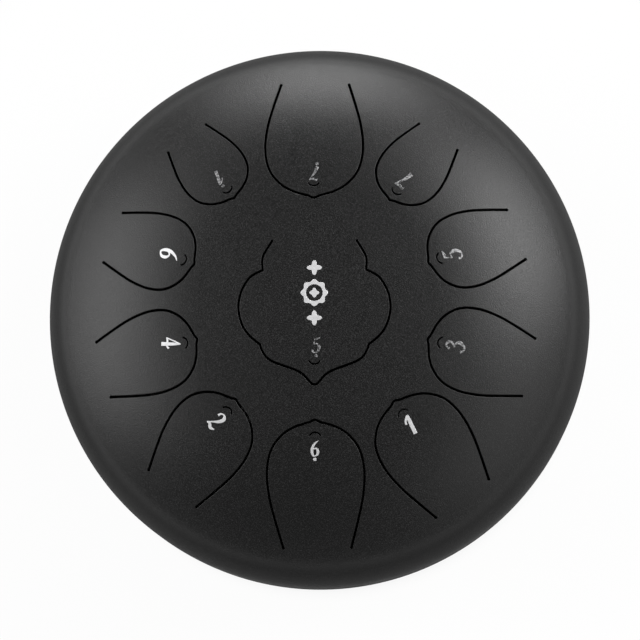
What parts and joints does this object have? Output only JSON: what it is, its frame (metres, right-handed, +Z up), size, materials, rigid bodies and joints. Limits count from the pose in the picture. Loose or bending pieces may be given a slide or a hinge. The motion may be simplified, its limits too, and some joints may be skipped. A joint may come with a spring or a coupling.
{
  "type": "steel tongue drum",
  "caption": "Round steel tongue drum: a domed top with slit tongues and note numerals, a bowl-shaped bottom with a sound hole, and rubber feet.",
  "frame": {"origin": "on the floor under the middle of the drum, in the plane that the rubber feet stand on", "axes": "+Z up out of the domed top; +Y towards the root of the middle tongue; +X to the right of the player, who faces +Y"},
  "size_m": [0.254, 0.254, 0.1476],
  "materials": {
    "powder_coat": "matte fine-grain powder coat over steel",
    "bright_metal": "bright polished metal transfer",
    "rubber": "matte black rubber",
    "plated_steel": "zinc-plated steel"
  },
  "bodies": {
    "drum": {"upper_shell": "powder_coat", "lower_shell": "powder_coat", "seam_weld": "powder_coat", "foot_front_right": "rubber", "foot_back_right": "rubber", "foot_back_left": "rubber", "foot_front_left": "rubber", "foot_screws": "plated_steel", "foot_head_washers": "plated_steel", "foot_inner_washers": "plated_steel", "foot_nuts": "plated_steel"},
    "note_low_5": {"tongue_low_5": "powder_coat", "numeral_low_5": "bright_metal", "middle_ornament": "bright_metal"},
    "note_low_6": {"tongue_low_6": "powder_coat", "numeral_low_6": "bright_metal"},
    "note_low_7": {"tongue_low_7": "powder_coat", "numeral_low_7": "bright_metal"},
    "note_1": {"tongue_1": "powder_coat", "numeral_1": "bright_metal"},
    "note_2": {"tongue_2": "powder_coat", "numeral_2": "bright_metal"},
    "note_3": {"tongue_3": "powder_coat", "numeral_3": "bright_metal"},
    "note_4": {"tongue_4": "powder_coat", "numeral_4": "bright_metal"},
    "note_5": {"tongue_5": "powder_coat", "numeral_5": "bright_metal"},
    "note_6": {"tongue_6": "powder_coat", "numeral_6": "bright_metal"},
    "note_7": {"tongue_7": "powder_coat", "numeral_7": "bright_metal"},
    "note_high_1": {"tongue_high_1": "powder_coat", "numeral_high_1": "bright_metal"}
  },
  "joints": [
    {"name": "flex_low_5", "type": "hinge", "parent": "drum", "child": "note_low_5", "pos_m": [-0.00038, 0.02765, 0.14557], "axis": [1, 0, 0], "range_deg": [-0.4, 0.4], "stiffness_Nm_per_rad": 24},
    {"name": "flex_low_6", "type": "hinge", "parent": "drum", "child": "note_low_6", "pos_m": [0.00014, -0.11012, 0.11942], "axis": [-1, -0.007, 0], "range_deg": [-0.4, 0.4], "stiffness_Nm_per_rad": 22},
    {"name": "flex_low_7", "type": "hinge", "parent": "drum", "child": "note_low_7", "pos_m": [-0.00076, 0.10405, 0.12399], "axis": [1, 0, 0], "range_deg": [-0.4, 0.4], "stiffness_Nm_per_rad": 22},
    {"name": "flex_1", "type": "hinge", "parent": "drum", "child": "note_1", "pos_m": [0.06636, -0.08767, 0.11951], "axis": [-0.809, -0.5878, 0], "range_deg": [-0.4, 0.4], "stiffness_Nm_per_rad": 20},
    {"name": "flex_2", "type": "hinge", "parent": "drum", "child": "note_2", "pos_m": [-0.06602, -0.08306, 0.1226], "axis": [-0.7902, 0.6129, 0], "range_deg": [-0.4, 0.4], "stiffness_Nm_per_rad": 18},
    {"name": "flex_3", "type": "hinge", "parent": "drum", "child": "note_3", "pos_m": [0.09677, -0.02826, 0.12611], "axis": [-0.2317, -0.9728, 0], "range_deg": [-0.4, 0.4], "stiffness_Nm_per_rad": 17},
    {"name": "flex_4", "type": "hinge", "parent": "drum", "child": "note_4", "pos_m": [-0.09775, -0.02858, 0.12557], "axis": [-0.2588, 0.9659, 0], "range_deg": [-0.4, 0.4], "stiffness_Nm_per_rad": 16},
    {"name": "flex_5", "type": "hinge", "parent": "drum", "child": "note_5", "pos_m": [0.09158, 0.03269, 0.12858], "axis": [0.3453, -0.9385, 0], "range_deg": [-0.4, 0.4], "stiffness_Nm_per_rad": 15},
    {"name": "flex_6", "type": "hinge", "parent": "drum", "child": "note_6", "pos_m": [-0.09365, 0.03235, 0.12737], "axis": [0.3567, 0.9342, 0], "range_deg": [-0.4, 0.4], "stiffness_Nm_per_rad": 15},
    {"name": "flex_7", "type": "hinge", "parent": "drum", "child": "note_7", "pos_m": [0.05603, 0.07827, 0.12921], "axis": [0.8192, -0.5736, 0], "range_deg": [-0.4, 0.4], "stiffness_Nm_per_rad": 12},
    {"name": "flex_high_1", "type": "hinge", "parent": "drum", "child": "note_high_1", "pos_m": [-0.05982, 0.07841, 0.12778], "axis": [0.8007, 0.599, 0], "range_deg": [-0.4, 0.4], "stiffness_Nm_per_rad": 12}
  ]
}
